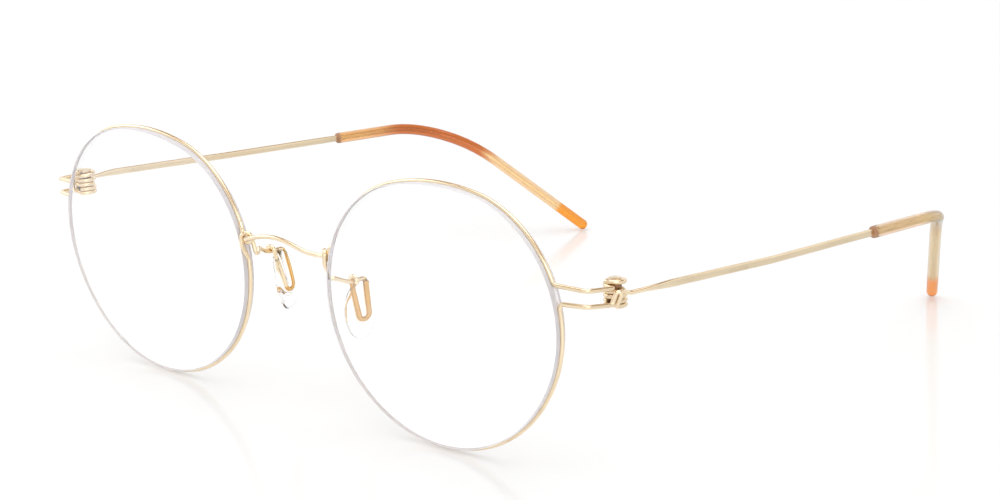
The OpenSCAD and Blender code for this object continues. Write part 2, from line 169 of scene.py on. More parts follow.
def swept(path, side, a, b, sides=20, square=0.0):
    """Rings of a section carried along a path, as an array of stations, corners and x, y, z.

    A corner at angle w is a * cos(w) out along side and b * sin(w) up, where both cosine and
    sine are raised to the power 1 - square, keeping their signs, to flatten the faces."""
    w = np.arange(sides) / sides * 2 * math.pi
    power = 1 - np.broadcast_to(square, len(path))[:, None]
    flat = lambda v: np.sign(v) * np.abs(v) ** power
    a, b = (np.broadcast_to(v, len(path))[:, None, None] for v in (a, b))
    up = np.cross(headings(path), side)
    return (path[:, None] + a * flat(np.cos(w))[..., None] * side[:, None]
            + b * flat(np.sin(w))[..., None] * up[:, None])


def with_ends(path, start, end):
    """Path with short stations added beyond both ends, and the section's scale at each.

    start and end list pairs: how far beyond the path's end, and the scale there."""
    first, last = unit(path[0] - path[1]), unit(path[-1] - path[-2])
    before = [path[0] + d * first for d, _ in start]
    after = [path[-1] + d * last for d, _ in end]
    scale = np.concatenate([[s for _, s in start], np.ones(len(path)), [s for _, s in end]])
    return np.concatenate([np.reshape(before, (-1, 3)), path, np.reshape(after, (-1, 3))]), scale


broken_edge = [(0.04, 0.82)]
print("a cut end's edge is broken over", broken_edge[0][0], "mm")

# %% [markdown]
# ## How the glasses stand
# On a table the glasses rest on the two lower rims and the two temple tips, so the whole
# front leans back by a degree and a half. The lean follows from the lens's lowest point and
# the tip's end, and every point of the front is turned by it once, when its mesh is made.

# %% Outline of the lens: four arcs that run into each other
lens_half = lens_w / 2
nose_end, temple_end = np.array([-nose_end_less, 0.0]), np.array([temple_end_less, end_rise])
nose_end_r, temple_end_r = lens_half - nose_end_less, lens_half - temple_end_less
top_r, bottom_r = lens_half + top_more, lens_half + bottom_more


def long_centre(r, s):
    """Centre of a long arc that touches both end arcs; s is 1 for the top, -1 below.

    It lies r less the end's radius from each end's centre, where those two circles cross."""
    d = temple_end - nose_end
    along = ((r - nose_end_r) ** 2 - (r - temple_end_r) ** 2 + d @ d) / (2 * np.linalg.norm(d))
    off = math.sqrt((r - nose_end_r) ** 2 - along ** 2)
    e = unit(d)
    return nose_end + along * e + s * off * np.array([e[1], -e[0]])


def angle_of(v):
    """Angle of a flat vector in degrees."""
    return math.degrees(math.atan2(v[1], v[0]))


top_centre, bottom_centre = long_centre(top_r, 1), long_centre(bottom_r, -1)
arc_ends = [angle_of(temple_end - top_centre), angle_of(nose_end - top_centre),
            angle_of(nose_end - bottom_centre) + 360]
last_end = angle_of(temple_end - bottom_centre) + 360
arc_centres = np.array([temple_end, top_centre, nose_end, bottom_centre])
arc_radii = np.array([temple_end_r, top_r, nose_end_r, bottom_r])
lens_up, lens_down = top_centre[1] + top_r, bottom_r - bottom_centre[1]
edge_r = (lens_w + lens_up + lens_down) / 4
print(f"lens height {lens_up + lens_down:.2f} mm")


# %% From the lens's own measures to the front, and from there to the table
def outline(a, out=0.0, share=1.0):
    """Flat point of the lens outline whose outward direction is at angle a, moved out.

    It is its arc's centre plus (radius + out) times that direction, all times share."""
    a = np.asarray(a, float) % 360
    which = np.searchsorted(arc_ends, np.where(a > last_end, a - 360, a))
    way = np.stack([np.cos(np.radians(a)), np.sin(np.radians(a))], -1)
    return share * (arc_centres[which] + (arc_radii[which] + out)[..., None] * way)


def on_front(flat, t):
    """Place on the front of a flat lens point: turned by the wrap, t back from the edge."""
    w = math.radians(lens_wrap)
    u, v = flat[..., 0], flat[..., 1]
    return np.stack([lens_x + u * math.cos(w) - t * math.sin(w),
                     u * math.sin(w) + t * math.cos(w), v + 0 * t], -1)


def sag(d):
    """How far the front surface lies behind the edge's plane; less than 0 inside the edge.

    On a sphere of radius R it is the root of R ** 2 - edge_r ** 2 less that of R ** 2 - d ** 2."""
    return math.sqrt(lens_curve_r ** 2 - edge_r ** 2) - np.sqrt(lens_curve_r ** 2 - d ** 2)


def rim_point(a):
    """Point of the rim wire's centre line at angle a."""
    return on_front(outline(a, rim_off), rim_t)


def rim_heading(a):
    """Direction of the rim wire at angle a, from the temple over the top to the nose."""
    flat = np.array([-math.sin(math.radians(a)), math.cos(math.radians(a))])
    return unit(on_front(flat, 0.0) - on_front(0 * flat, 0.0))


def rim_run(a, b):
    """Points of the rim wire between two angles, about one each degree and a half."""
    return rim_point(np.linspace(a + 1, b - 1, round((b - a) / 1.5)))


ear_point = np.array([hinge[0] + 1.3, ear_y, hinge[2] - 6.75])
tail_point = ear_point + tail_len * bend_share * unit([-7.55, 10.1, -4.77])
tail_way = unit([-14.12, 19.4, -20.76])
tip_end = tail_point + tail_len * (1 - bend_share) * tail_way
foot = np.array([rim_t, -(lens_down + rim_off)])
reach = tip_end[1:] - foot
tilt = math.asin((tip_d / 2 - wire_r) / np.linalg.norm(reach)) - math.atan2(reach[1], reach[0])
lift = wire_r - foot[0] * math.sin(tilt) - foot[1] * math.cos(tilt)
front_y = ((eye[1] - bridge_forward) * math.cos(tilt)
           - (eye[2] + bridge_rise) * math.sin(tilt) - wire_r)
back_y = tip_end[1] * math.cos(tilt) - tip_end[2] * math.sin(tilt) + tip_d / 2
middle_y = (front_y + back_y) / 2


def turned(v):
    """Vectors of the front turned about x by the tilt, as the glasses stand."""
    x, y, z = np.moveaxis(np.asarray(v, float), -1, 0)
    c, s = math.cos(tilt), math.sin(tilt)
    return np.stack([x, y * c - z * s, y * s + z * c], -1)


def stand(points):
    """Places on the front, in millimetres, as places over the table, in metres."""
    return (turned(points) + [0, -middle_y, lift]) / 1000


print(f"tilt {math.degrees(tilt):.4f} degrees, lift {lift:.3f} mm, middle {middle_y:.3f} mm")

# %% [markdown]
# ## From rings to a closed skin
# Every piece of these glasses is a row of rings: a wire's sections, a lens's circles, a pad's
# outlines. One helper joins neighbouring rings with four-sided faces, closes each end on a
# single point and gives the skin a UV map, with u in millimetres along the piece and v once
# around it. The volume's sign tells whether the faces look out; if not, all are reversed.

# %% Skin over rings
def skin(name, rings, poles, body, stands_for, finishes, bands=None, mirror=False,
         sharp=None):
    """Mesh piece over an array of rings, in millimetres on the front, closed at two poles."""
    n, m, _ = rings.shape
    points = np.concatenate([rings.reshape(-1, 3), np.reshape(poles, (2, 3))])
    if mirror:
        points = points * [-1, 1, 1]
    i, k = (v.ravel() for v in np.mgrid[0:n - 1, 0:m])
    j = (k + 1) % m
    quads = np.stack([i * m + k, i * m + j, (i + 1) * m + j, (i + 1) * m + k], 1)
    near, after, last = k[:m], j[:m], (n - 1) * m
    fans = np.concatenate([np.stack([after, near, np.full(m, n * m)], 1),
                           np.stack([last + near, last + after, np.full(m, n * m + 1)], 1)])
    step = np.linalg.norm(np.diff(rings.mean(1), axis=0), axis=1)
    u, v = np.concatenate([[0], np.cumsum(step)]), np.arange(m + 1) / m
    quad_uv = np.stack([np.stack([u[i], v[k]], 1), np.stack([u[i], v[k + 1]], 1),
                        np.stack([u[i + 1], v[k + 1]], 1), np.stack([u[i + 1], v[k]], 1)], 1)
    ends = np.repeat(u[[0, -1]], m)
    va, vb = np.tile(v[:-1], 2), np.tile(v[1:], 2)
    va[:m], vb[:m] = v[1:], v[:-1]
    fan_uv = np.stack([np.stack([ends, va], 1), np.stack([ends, vb], 1),
                       np.stack([ends, (va + vb) / 2], 1)], 1)
    corners = points[quads]
    volume = (corners[:, 0] * (np.cross(corners[:, 1], corners[:, 2])
                               + np.cross(corners[:, 2], corners[:, 3]))).sum()
    corners = points[fans]
    volume += (corners[:, 0] * np.cross(corners[:, 1], corners[:, 2])).sum()
    if volume < 0:
        quads, fans, quad_uv, fan_uv = (v[:, ::-1] for v in (quads, fans, quad_uv, fan_uv))
    mesh = bpy.data.meshes.new(name)
    mesh.from_pydata(stand(points).tolist(), [], quads.tolist() + fans.tolist())
    mesh.uv_layers.new(name="length_and_around")
    uv = np.concatenate([quad_uv.reshape(-1, 2), fan_uv.reshape(-1, 2)])
    mesh.uv_layers[0].data.foreach_set("uv", uv.astype(np.float32).ravel())
    for finish in finishes:
        mesh.materials.append(finish)
    if bands is not None:
        index = np.concatenate([np.repeat(bands, m), np.repeat([bands[0], bands[-1]], m)])
        mesh.polygons.foreach_set("material_index", index.astype(np.int32))
    mesh.shade_smooth()
    if sharp:
        mesh.set_sharp_from_angle(angle=math.radians(sharp))
    mesh.validate()
    piece = bpy.data.objects.new(name, mesh)
    bpy.context.scene.collection.objects.link(piece)
    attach(piece, body)
    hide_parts(stands_for)
    print(f"{name}: {len(mesh.polygons)} faces, {abs(volume) / 6:.1f} mm3, {u[-1]:.1f} mm long")
    return piece


# %% [markdown]
# ## Joining shader nodes
# A finish is a small tree of nodes. One helper adds a node and fills its inputs, either with
# a value or with another node's output, so that each material below reads from top to bottom
# as a recipe.

# %% Helpers for node trees
def add(tree, kind, inputs=None, **settings):
    """One node with its settings; inputs are values, or sockets to join."""
    made = tree.nodes.new("ShaderNode" + kind)
    for key, value in settings.items():
        setattr(made, key, value)
    for key, value in (inputs or {}).items():
        if isinstance(value, bpy.types.NodeSocket):
            tree.links.new(value, made.inputs[key])
        else:
            made.inputs[key].default_value = value
    return made


def math_node(tree, operation, *values):
    """Output of one Math node."""
    return add(tree, "Math", dict(enumerate(values)), operation=operation).outputs[0]


def most(tree, value, *others):
    """Largest of several values."""
    for other in others:
        value = math_node(tree, "MAXIMUM", value, other)
    return value


def spread(tree, value, low, high, to_low=0.0, to_high=1.0):
    """A value carried smoothly from one range to another."""
    return add(tree, "MapRange", {0: value, 1: low, 2: high, 3: to_low, 4: to_high},
               interpolation_type="SMOOTHSTEP").outputs[0]


def blend_colours(tree, share, a, b):
    """Colour between a and b."""
    return add(tree, "Mix", {0: share, 6: a, 7: b}, data_type="RGBA").outputs[2]


def noise(tree, place, scale, detail, **others):
    """Value of a noise texture at a place."""
    return add(tree, "TexNoise", {"Vector": place, "Scale": scale, "Detail": detail,
                                  **others}).outputs[0]


def bump(tree, height, strength, distance):
    """Normal of a surface that a height raises by up to a distance, in metres."""
    return add(tree, "Bump", {"Height": height, "Strength": strength,
                              "Distance": distance}).outputs[0]


def feed(tree, sockets, values):
    """Join outputs of the tree to the named sockets of a shader or of a group's end."""
    for label, value in values.items():
        tree.links.new(value, sockets[label])


def new_group(name, inputs, outputs):
    """Empty node group with named inputs and outputs; returns its tree, input and output."""
    tree = bpy.data.node_groups.new(name, "ShaderNodeTree")
    for label, kind, value in inputs:
        socket = tree.interface.new_socket(name=label, in_out="INPUT", socket_type=kind)
        if value is not None:
            socket.default_value = value
    for label, kind in outputs:
        tree.interface.new_socket(name=label, in_out="OUTPUT", socket_type=kind)
    return tree, tree.nodes.new("NodeGroupInput").outputs, tree.nodes.new("NodeGroupOutput").inputs


def placed(tree, group, inputs):
    """One use of a node group, with its own values."""
    return add(tree, "Group", inputs, node_tree=group).outputs


def new_material(name, **constants):
    """Material whose Principled shader has its constants set on its own sockets.

    It returns the material, its tree and the shader's inputs."""
    material = bpy.data.materials.new(name)
    material.use_nodes = True
    shader = material.node_tree.nodes["Principled BSDF"]
    for key, value in constants.items():
        shader.inputs[key.replace("_", " ")].default_value = value
    return material, material.node_tree, shader.inputs


print("helpers for finishes are ready")

# %% [markdown]
# ## Grain of drawn wire
# Wire is pulled through a die, which leaves fine scratches that run along it and never
# around it. The same grain is on every wire and on the hinge pins, so it is a node group.
# Noise is squeezed along the wire and stretched around it. The way around is given as a point
# on a circle, from the UV map's v, so that the pattern meets itself without a seam.

# %% Node group: drawn grain
drawn_grain, given, out = new_group(
    "drawn_grain",
    [("Along", "NodeSocketFloat", 0.0), ("Around", "NodeSocketFloat", 0.0),
     ("Fineness", "NodeSocketFloat", 4.0)],
    [("Grain", "NodeSocketFloat"), ("Slow", "NodeSocketFloat")])
angle = math_node(drawn_grain, "MULTIPLY", given["Around"], 2 * math.pi)
circle = [math_node(drawn_grain, "MULTIPLY", math_node(drawn_grain, way, angle), given["Fineness"])
          for way in ("COSINE", "SINE")]
squeezed = math_node(drawn_grain, "MULTIPLY", given["Along"], 0.35)
place = add(drawn_grain, "CombineXYZ", {0: squeezed, 1: circle[0], 2: circle[1]}).outputs[0]
feed(drawn_grain, out, {"Grain": noise(drawn_grain, place, 1.6, 4.0, Roughness=0.65),
                        "Slow": noise(drawn_grain, place, 0.22, 2.0)})
print("group:", drawn_grain.name)

# %% [markdown]
# ## Marks of handling
# Glasses are taken off and put down all day. Fingers leave soft smudges on metal, plastic and
# lens alike, and cloths leave hair-fine scratches. Both are read from Object coordinates, so
# that they run on from one piece to the next, and each finish takes as much as it likes.

# %% Node group: handling marks
handling_marks, given, out = new_group(
    "handling_marks",
    [("Place", "NodeSocketVector", None), ("Smudge Size", "NodeSocketFloat", 90.0)],
    [("Smudge", "NodeSocketFloat"), ("Scratch", "NodeSocketFloat")])
cloud = noise(handling_marks, given["Place"], given["Smudge Size"], 5.0, Distortion=0.4)
hair = add(handling_marks, "Mapping", {"Vector": given["Place"], "Rotation": (0.4, 0.9, 0.3),
                                       "Scale": (2600.0, 130.0, 2600.0)}).outputs[0]
feed(handling_marks, out, {
    "Smudge": spread(handling_marks, cloud, 0.48, 0.72),
    "Scratch": spread(handling_marks, noise(handling_marks, hair, 1.0, 1.0), 0.66, 0.74)})
print("group:", handling_marks.name)

# %% [markdown]
# ## Gold-plated wire
# The wire is titanium with a thin coat of pale gold: a clean metal that is almost a mirror.
# Its colour is the reflection's own tint, so the base is pale and the metal is full. The
# grain changes roughness and a hair of height, and slow noise shifts the plating between a
# lighter and a warmer gold, as plating thickness does. Where the silicone of the pads holds the
# wire, that stretch has its own tones, deeper and more orange: painted light, for the light that
# goes to and fro between gold and silicone. A hinge pin is painted dark brown inside its coils,
# a painted shade for the gaps between the coils.

# %% Material: gold wire
def gold(name, on_uv, light, warm):
    """Gold plate of two tones; the grain follows the UV map, or the upright axis on a pin.

    A pin is painted dark brown near its middle, a painted shade for the gaps inside the coils,
    and is plated beyond a set share of its height from there."""
    material, tree, sockets = new_material(name, Metallic=1.0)
    spot = add(tree, "TexCoord").outputs
    if on_uv:
        along, around, _ = add(tree, "SeparateXYZ", {0: spot["UV"]}).outputs
    else:
        x, y, z = add(tree, "SeparateXYZ", {0: spot["Object"]}).outputs
        along = math_node(tree, "MULTIPLY", z, 1000.0)
        around = math_node(tree, "MULTIPLY", math_node(tree, "ADD", x, y), 500.0)
        # Painted shade: the pin is darkened near its middle, where it lies inside the coils.
        coil_shade_from, coil_shade_to = 0.36, 0.42
        low, high = (corner[2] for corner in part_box("hinge_pin_left"))
        from_middle = math_node(tree, "ABSOLUTE", math_node(tree, "SUBTRACT", z, (low + high) / 2))
        painted_coil_shade = spread(tree, from_middle, coil_shade_from * (high - low), coil_shade_to * (high - low), 1.0, 0.0)
    grain = placed(tree, drawn_grain, {"Along": along, "Around": around, "Fineness": 4.0})
    marks = placed(tree, handling_marks, {"Place": spot["Object"], "Smudge Size": 160.0})
    plating = blend_colours(tree, spread(tree, grain["Slow"], 0.35, 0.65), light, warm)
    smudge_and_painted_shade = blend_colours(tree, math_node(tree, "MULTIPLY", marks["Smudge"], 0.35), plating,
                         (0.66, 0.52, 0.37, 1))
    if not on_uv:
        # Painted shade: the middle of the pin is painted dark brown for the gaps between the coils.
        smudge_and_painted_shade = blend_colours(tree, painted_coil_shade, smudge_and_painted_shade, (0.30, 0.18, 0.10, 1))
    rough = math_node(tree, "ADD", spread(tree, grain["Grain"], 0.3, 0.7, 0.12, 0.24),
                      math_node(tree, "MULTIPLY", marks["Smudge"], 0.08))
    height = math_node(tree, "SUBTRACT", grain["Grain"], marks["Scratch"])
    feed(tree, sockets, {"Base Color": smudge_and_painted_shade, "Roughness": rough,
                         "Normal": bump(tree, height, 0.16, 0.00002)})
    return material


plate_tones = (0.94, 0.785, 0.56, 1), (0.86, 0.705, 0.485, 1)
gold_wire = gold("gold_wire", True, *plate_tones)
gold_pin_with_painted_shade = gold("gold_pin_with_painted_shade", False, *plate_tones)
# Painted light: inside the pads the gold is painted deeper and more orange, for the light that goes
# to and fro between gold and silicone.
gold_painted_deeper_in_pads = gold("gold_painted_deeper_in_pads", True, (0.82, 0.50, 0.17, 1), (0.66, 0.37, 0.11, 1))
print("finishes:", gold_wire.name, gold_pin_with_painted_shade.name, gold_painted_deeper_in_pads.name)

# %% [markdown]
# ## Clear lens and its ground edge
# The lens is optical plastic, so clear that only its edge and a few reflections show. Its
# faces get a plain glass-like shader whose roughness rises a little where a finger has been.
# The edge was ground on a wheel and never polished. It scatters light, so it looks like
# pale lavender frost, with the fine ripple that the wheel leaves around it.

# %% Materials: lens faces and ground edge
lens_clear, tree, sockets = new_material("lens_clear", IOR=1.5, Transmission_Weight=1.0)
spot = add(tree, "TexCoord").outputs["Object"]
smudge = placed(tree, handling_marks, {"Place": spot, "Smudge Size": 45.0})["Smudge"]
feed(tree, sockets, {
    "Base Color": blend_colours(tree, smudge, (1.0, 1.0, 1.0, 1), (0.985, 0.99, 0.988, 1)),
    "Roughness": math_node(tree, "MULTIPLY", smudge, 0.02)})

ground_edge, tree, sockets = new_material("ground_edge", IOR=1.5, Transmission_Weight=0.35)
spot = add(tree, "TexCoord").outputs["Object"]
frost, patch = noise(tree, spot, 2400.0, 3.0), noise(tree, spot, 120.0, 2.0)
smudge = placed(tree, handling_marks, {"Place": spot, "Smudge Size": 90.0})["Smudge"]
tint = blend_colours(tree, spread(tree, patch, 0.35, 0.65), (0.94, 0.90, 0.93, 1),
                     (0.98, 0.955, 0.97, 1))
feed(tree, sockets, {"Base Color": blend_colours(tree, smudge, tint, (0.90, 0.87, 0.89, 1)),
                     "Roughness": spread(tree, frost, 0.3, 0.7, 0.5, 0.7),
                     "Normal": bump(tree, frost, 0.3, 0.00002)})
print("finishes:", lens_clear.name, ground_edge.name)

# %% [markdown]
# ## Clear silicone
# Nose pads are moulded from soft clear silicone. It bends light less than glass and its skin
# is never quite smooth, so it is rougher, and its surface has the faint orange-peel of the
# mould. Where the surface is seen at a slant its colour is painted grey, a painted shade that
# draws the pad's outline in place of the light that the thick soft edge bends away.

# %% Material: clear silicone
silicone, tree, sockets = new_material("clear_silicone", IOR=1.3, Transmission_Weight=1.0)
spot = add(tree, "TexCoord").outputs["Object"]
smudge = placed(tree, handling_marks, {"Place": spot, "Smudge Size": 260.0})["Smudge"]
clear = blend_colours(tree, smudge, (0.985, 0.99, 0.99, 1), (0.95, 0.955, 0.95, 1))
# Painted shade: the colour turns grey where the surface is seen at a slant.
painted_edge_shade = spread(tree, add(tree, "LayerWeight", {"Blend": 0.5}).outputs["Facing"], 0.55, 1.0)
feed(tree, sockets, {"Base Color": blend_colours(tree, painted_edge_shade, clear, (0.50, 0.53, 0.53, 1)),
                     "Roughness": spread(tree, smudge, 0.0, 1.0, 0.05, 0.14),
                     "Normal": bump(tree, noise(tree, spot, 1500.0, 2.0), 0.12, 0.00003)})
print("finish:", silicone.name)

# %% [markdown]
# ## Amber plastic
# The tips are cut from sheets of tinted acetate that light passes through, and the dye is
# clouded lengthwise. The amber changes at the bend, behind the ear and in the solid end, and
# differs between the two tips; beyond the dye's own tint, those changes are painted light, as
# the real tips are one plastic lit through from behind in different ways. A see-through shader
# with this colour as its base shows the metal core inside as the real tip does. The clouds are
# read from the UV map, whose u is the distance from the mouth. The mouth itself was sawn and
# left unpolished, so it passes less light and looks brown.

# %% Materials: deep, pale and sawn amber plastic
def amber(name, mouth_dye_and_light, bend_dye_and_light, rear_dye_and_light, end_dye_and_light):
    """Clear plastic whose colour, its dye's tint with painted light on top, changes at the bend,
    behind it and in the solid end.
    """
    material, tree, sockets = new_material(name, IOR=1.49, Transmission_Weight=0.93)
    spot = add(tree, "TexCoord").outputs
    along, around, _ = add(tree, "SeparateXYZ", {0: spot["UV"]}).outputs
    streaks = placed(tree, drawn_grain, {"Along": along, "Around": around, "Fineness": 1.1})
    smudge = placed(tree, handling_marks, {"Place": spot["Object"], "Smudge Size": 120.0})["Smudge"]
    shifted = math_node(tree, "ADD", along, spread(tree, streaks["Slow"], 0.3, 0.7, -2.5, 2.5))
    # Painted light: the colour steps from mouth to bend, rear and end stand in for light through
    # the plastic as well as for its dye.
    dye_and_light = mouth_dye_and_light
    for place, near, far, next_dye_and_light in ((shifted, 7, 20, bend_dye_and_light), (shifted, 37, 41, rear_dye_and_light),
                                       (along, 57.2, 58.2, end_dye_and_light)):
        dye_and_light = blend_colours(tree, spread(tree, place, near, far), dye_and_light, next_dye_and_light)
    cloudy = math_node(tree, "MULTIPLY", spread(tree, streaks["Grain"], 0.4, 0.75), 0.3)
    darker = add(tree, "Mix", {0: 1.0, 6: dye_and_light, 7: (0.93, 0.80, 0.66, 1)}, data_type="RGBA",
                 blend_type="MULTIPLY").outputs[2]
    feed(tree, sockets, {"Base Color": blend_colours(tree, cloudy, dye_and_light, darker),
                         "Roughness": spread(tree, smudge, 0.0, 1.0, 0.01, 0.07),
                         "Normal": bump(tree, streaks["Grain"], 0.04, 0.00004)})
    return material


# Painted light: the two tips take a deep and a pale copy of one amber, for how light passes through
# each.
amber_deep_painted_light = amber("amber_deep_painted_light", (1.0, 0.58, 0.28, 1), (0.70, 0.205, 0.06, 1),
                   (1.0, 0.71, 0.42, 1), (1.0, 0.38, 0.035, 1))
amber_pale_painted_light = amber("amber_pale_painted_light", (0.92, 0.68, 0.49, 1), (0.98, 0.76, 0.54, 1),
                   (1.0, 0.84, 0.65, 1), (1.0, 0.38, 0.10, 1))

sawn_amber, tree, sockets = new_material("sawn_amber", IOR=1.49, Transmission_Weight=0.45)
patch = noise(tree, add(tree, "TexCoord").outputs["Object"], 900.0, 2.0)
feed(tree, sockets, {"Base Color": blend_colours(tree, spread(tree, patch, 0.35, 0.65),
                                                 (0.80, 0.46, 0.28, 1), (0.70, 0.38, 0.22, 1)),
                     "Roughness": spread(tree, patch, 0.3, 0.7, 0.12, 0.3)})
print("finishes:", amber_deep_painted_light.name, amber_pale_painted_light.name, sawn_amber.name)

# %% [markdown]
# ## Core inside the tips
# The wire runs on inside the plastic, but nobody polished it there. It is a duller, greener
# gold than the wire outside. Behind the ear it is painted paler, a cream that is painted light
# for the light that the clearer plastic round it lets through.
# It is a finish of its own on the same mesh, so the metal stays one piece.

# %% Material: tip core
tip_core, tree, sockets = new_material("tip_core", Metallic=0.85)
spot = add(tree, "TexCoord").outputs
along, around, _ = add(tree, "SeparateXYZ", {0: spot["UV"]}).outputs
grain = placed(tree, drawn_grain, {"Along": along, "Around": around, "Fineness": 2.0})["Grain"]
streak = spread(tree, grain, 0.3, 0.7)
brown = blend_colours(tree, streak, (0.90, 0.84, 0.55, 1), (0.72, 0.66, 0.43, 1))
painted_light_cream = blend_colours(tree, streak, (1.0, 0.96, 0.78, 1), (0.93, 0.88, 0.70, 1))
# Painted light: behind the ear the core is painted cream instead of the duller gold.
painted_light_past_ear = spread(tree, along, 106.0, 116.0)
feed(tree, sockets, {"Base Color": blend_colours(tree, painted_light_past_ear, brown, painted_light_cream),
                     "Roughness": spread(tree, grain, 0.3, 0.7, 0.16, 0.28)})
print("finish:", tip_core.name)

# %% [markdown]
# ## Rim wires
# One wire starts as the upper coil of the hinge, runs over the lens in its groove, winds once
# round the bridge wire as an eye, runs back under the lens, hooks up as a stop for the
# temple and ends as the lower coil. Drawing it as one path keeps the metal unbroken where it
# passes from job to job, which separate arcs joined together would not.

# %% Coils and eye
def on_coil(a, z):
    """Point of a hinge coil at angle a, in degrees, and height z from the hinge's middle."""
    a = np.radians(a)
    return hinge + np.stack([coil_r * np.cos(a), coil_r * np.sin(a), z + 0 * a], -1)


def heading_on_coil(a):
    """Direction of an anticlockwise coil at angle a."""
    a = math.radians(a)
    return np.array([-math.sin(a), math.cos(a), 0])


def eased(t):
    """Share of a rise that starts and ends softly."""
    return (1 - np.cos(math.pi * np.clip(t, 0, 1))) / 2


upper_from, upper_climb, lower_from, lower_climb = -105, 335, 245, 90
turn = np.arange(0, 366, 5.0)
upper_coil = on_coil(upper_from - turn, front_level + pitch * np.clip(turn / upper_climb, 0, 1))
turn = np.arange(0, 611, 5.0)
lower_z = -front_level - pitch
lower_coil = on_coil(turn, lower_z + pitch * eased((turn - lower_from) / lower_climb))


def arch(u):
    """Half of the bridge's arch: forward by a sixth-power curve, up by a rounded hump."""
    return np.stack([eye[0] * u, eye[1] - bridge_forward * (1 - u ** 6),
                     eye[2] + bridge_rise * np.clip(1 - u * u, 0, 1) ** 1.5], -1)


behind_eye = eye + [0.4, 1.3, 0]
bridge_end = unit(behind_eye - arch(np.array(0.9)))
eye_out = unit(np.cross(bridge_end, [0, 0, 1]))
eye_up = np.cross(eye_out, bridge_end)
turn = np.arange(0, 361, 10.0)[:, None]
eye_turn = (eye + (wire_d + 0.1) * (np.cos(np.radians(turn)) * eye_out
                                    - np.sin(np.radians(turn)) * eye_up)
            + (0.5 - turn / 360) * pitch * bridge_end)
print("coil points:", len(upper_coil), len(lower_coil), "eye points:", len(eye_turn))


# %% The whole rim path and both rim wires
def beside(s, w, z):
    """Point by the coil, s along the stop's side and w out from the hinge axis."""
    return hinge + [(s + w) * math.sqrt(0.5), (s - w) * math.sqrt(0.5), z]


stop_w = coil_r + wire_d + 0.09
stop_hook = [beside(0.1, stop_w, 0.55), beside(0.98, stop_w, 0.55),
             beside(-0.05, stop_w, lower_z + 0.25), on_coil(0, lower_z) - 0.4 * heading_on_coil(0)]
upper_leave, lower_leave, leave_run = 26, 8, 1.65
above_eye, below_eye, eye_run = 157, 175, 1.3 * eye_up
lug = np.array([hinge[0] + 0.25, 2.85, hinge[2]])
rim_path = np.concatenate([
    upper_coil[::-1],
    bends([upper_coil[0], hinge + [1.4, -1.9, front_level], lug + [0, 0, 1.7],
           rim_point(upper_leave) - leave_run * rim_heading(upper_leave),
           rim_point(upper_leave)], [0.45, 1.2, 0.9]),
    rim_run(upper_leave, above_eye),
    bends([rim_point(above_eye - 3), rim_point(above_eye), eye_turn[0] + eye_run, eye_turn[0]],
          [1, 1]),
    eye_turn,
    bends([eye_turn[-1], eye_turn[-1] - eye_run, rim_point(below_eye), rim_point(below_eye + 3)],
          [1, 1]),
    rim_run(below_eye + 1, 360 + lower_leave),
    bends([rim_point(lower_leave), rim_point(lower_leave) + leave_run * rim_heading(lower_leave),
           lug - [0, 0, 0.8], hinge + [1.4, -2.45, -1.3], *stop_hook, lower_coil[0]],
          [0.8, 1.2, 0.5, 0.39, 0.39, 0.4, 0.6]),
    lower_coil])


def round_wire(name, path, body, stands_for, mirror=False, painted_deeper_at=None):
    """Round gold wire along a path, with cut ends whose edges are just broken.

    The function in the last argument says which points of the path take the second finish, the
    gold that is painted deeper and more orange inside the pads as painted light."""
    path, scale = with_ends(path, broken_edge, broken_edge)
    rings = swept(path, steady(headings(path)), wire_r * scale, wire_r * scale)
    bands = painted_deeper_at(path[:-1]).astype(int) if painted_deeper_at else None
    skin(name, rings, path[[0, -1]], body, stands_for,
         [gold_wire, gold_painted_deeper_in_pads] if painted_deeper_at else [gold_wire], bands=bands, mirror=mirror, sharp=35)


hands = ("left", "right")
for hand in hands:
    round_wire(hand + "_rim", rim_path, "front", "rim_wire_" + hand, mirror=hand == "right")

# %% [markdown]
# ## Bridge wire with pad arms
# A second wire arches over the nose, passes through both eyes, drops in a tight hairpin and
# runs back as the arm of a nose pad. There it makes the U-shaped loop that the pad is pushed
# on to and hooks over its own arm. An optician bends the two arms to the wearer's nose, so
# left and right are set a little apart in height and lean.

# %% Bridge path and wire
pad_side = np.array([math.sin(math.radians(pad_splay)), math.cos(math.radians(pad_splay)), 0])
loop_top, loop_low, loop_shift, hook_r = 5.1, 1.96, 0.55, wire_d + 0.06


def pad_axes(hand):
    """Upward direction and middle of a pad, from its lift and lean."""
    lift_by, lean = pad_bend[hand]
    way = np.array([0, -math.sin(math.radians(lean)), math.cos(math.radians(lean))])
    way = unit(way - (way @ pad_side) * pad_side)
    return way, np.array([pad_x, pad_back, pad_z + lift_by]) - loop_top * way


def half_bridge(hand):
    """One half of the bridge wire, from beside the middle of the arch to the pad's hook."""
    lift_by = pad_bend[hand][0]
    way, middle = pad_axes(hand)
    at = lambda side, high: middle + side * pad_side + high * way
    arm = eye + [1.1, 5.05, -4.7 + lift_by]
    seat = mix(arm, at(0.85, loop_top), 0.25)
    route = [arch(np.array(0.9)), behind_eye, eye + [-0.75, 1.35, -3.95 + lift_by / 2],
             eye + [0.15, 2.6, -3.35 + 1.2 * lift_by], arm, at(0.85, loop_top),
             at(loop_shift + 0.92, -loop_low), at(loop_shift - 0.92, -loop_low),
             seat + [-hook_r, 0, hook_r], seat + [hook_r, 0, hook_r], seat + [hook_r, 0, -0.3]]
    return np.concatenate([arch(np.linspace(0.02, 1, 50)),
                           bends(route, [0.7, 0.42, 0.6, 3.5, 0.7, 0.88, 0.88, 0.75, 0.75]),
                           route[-1:]])


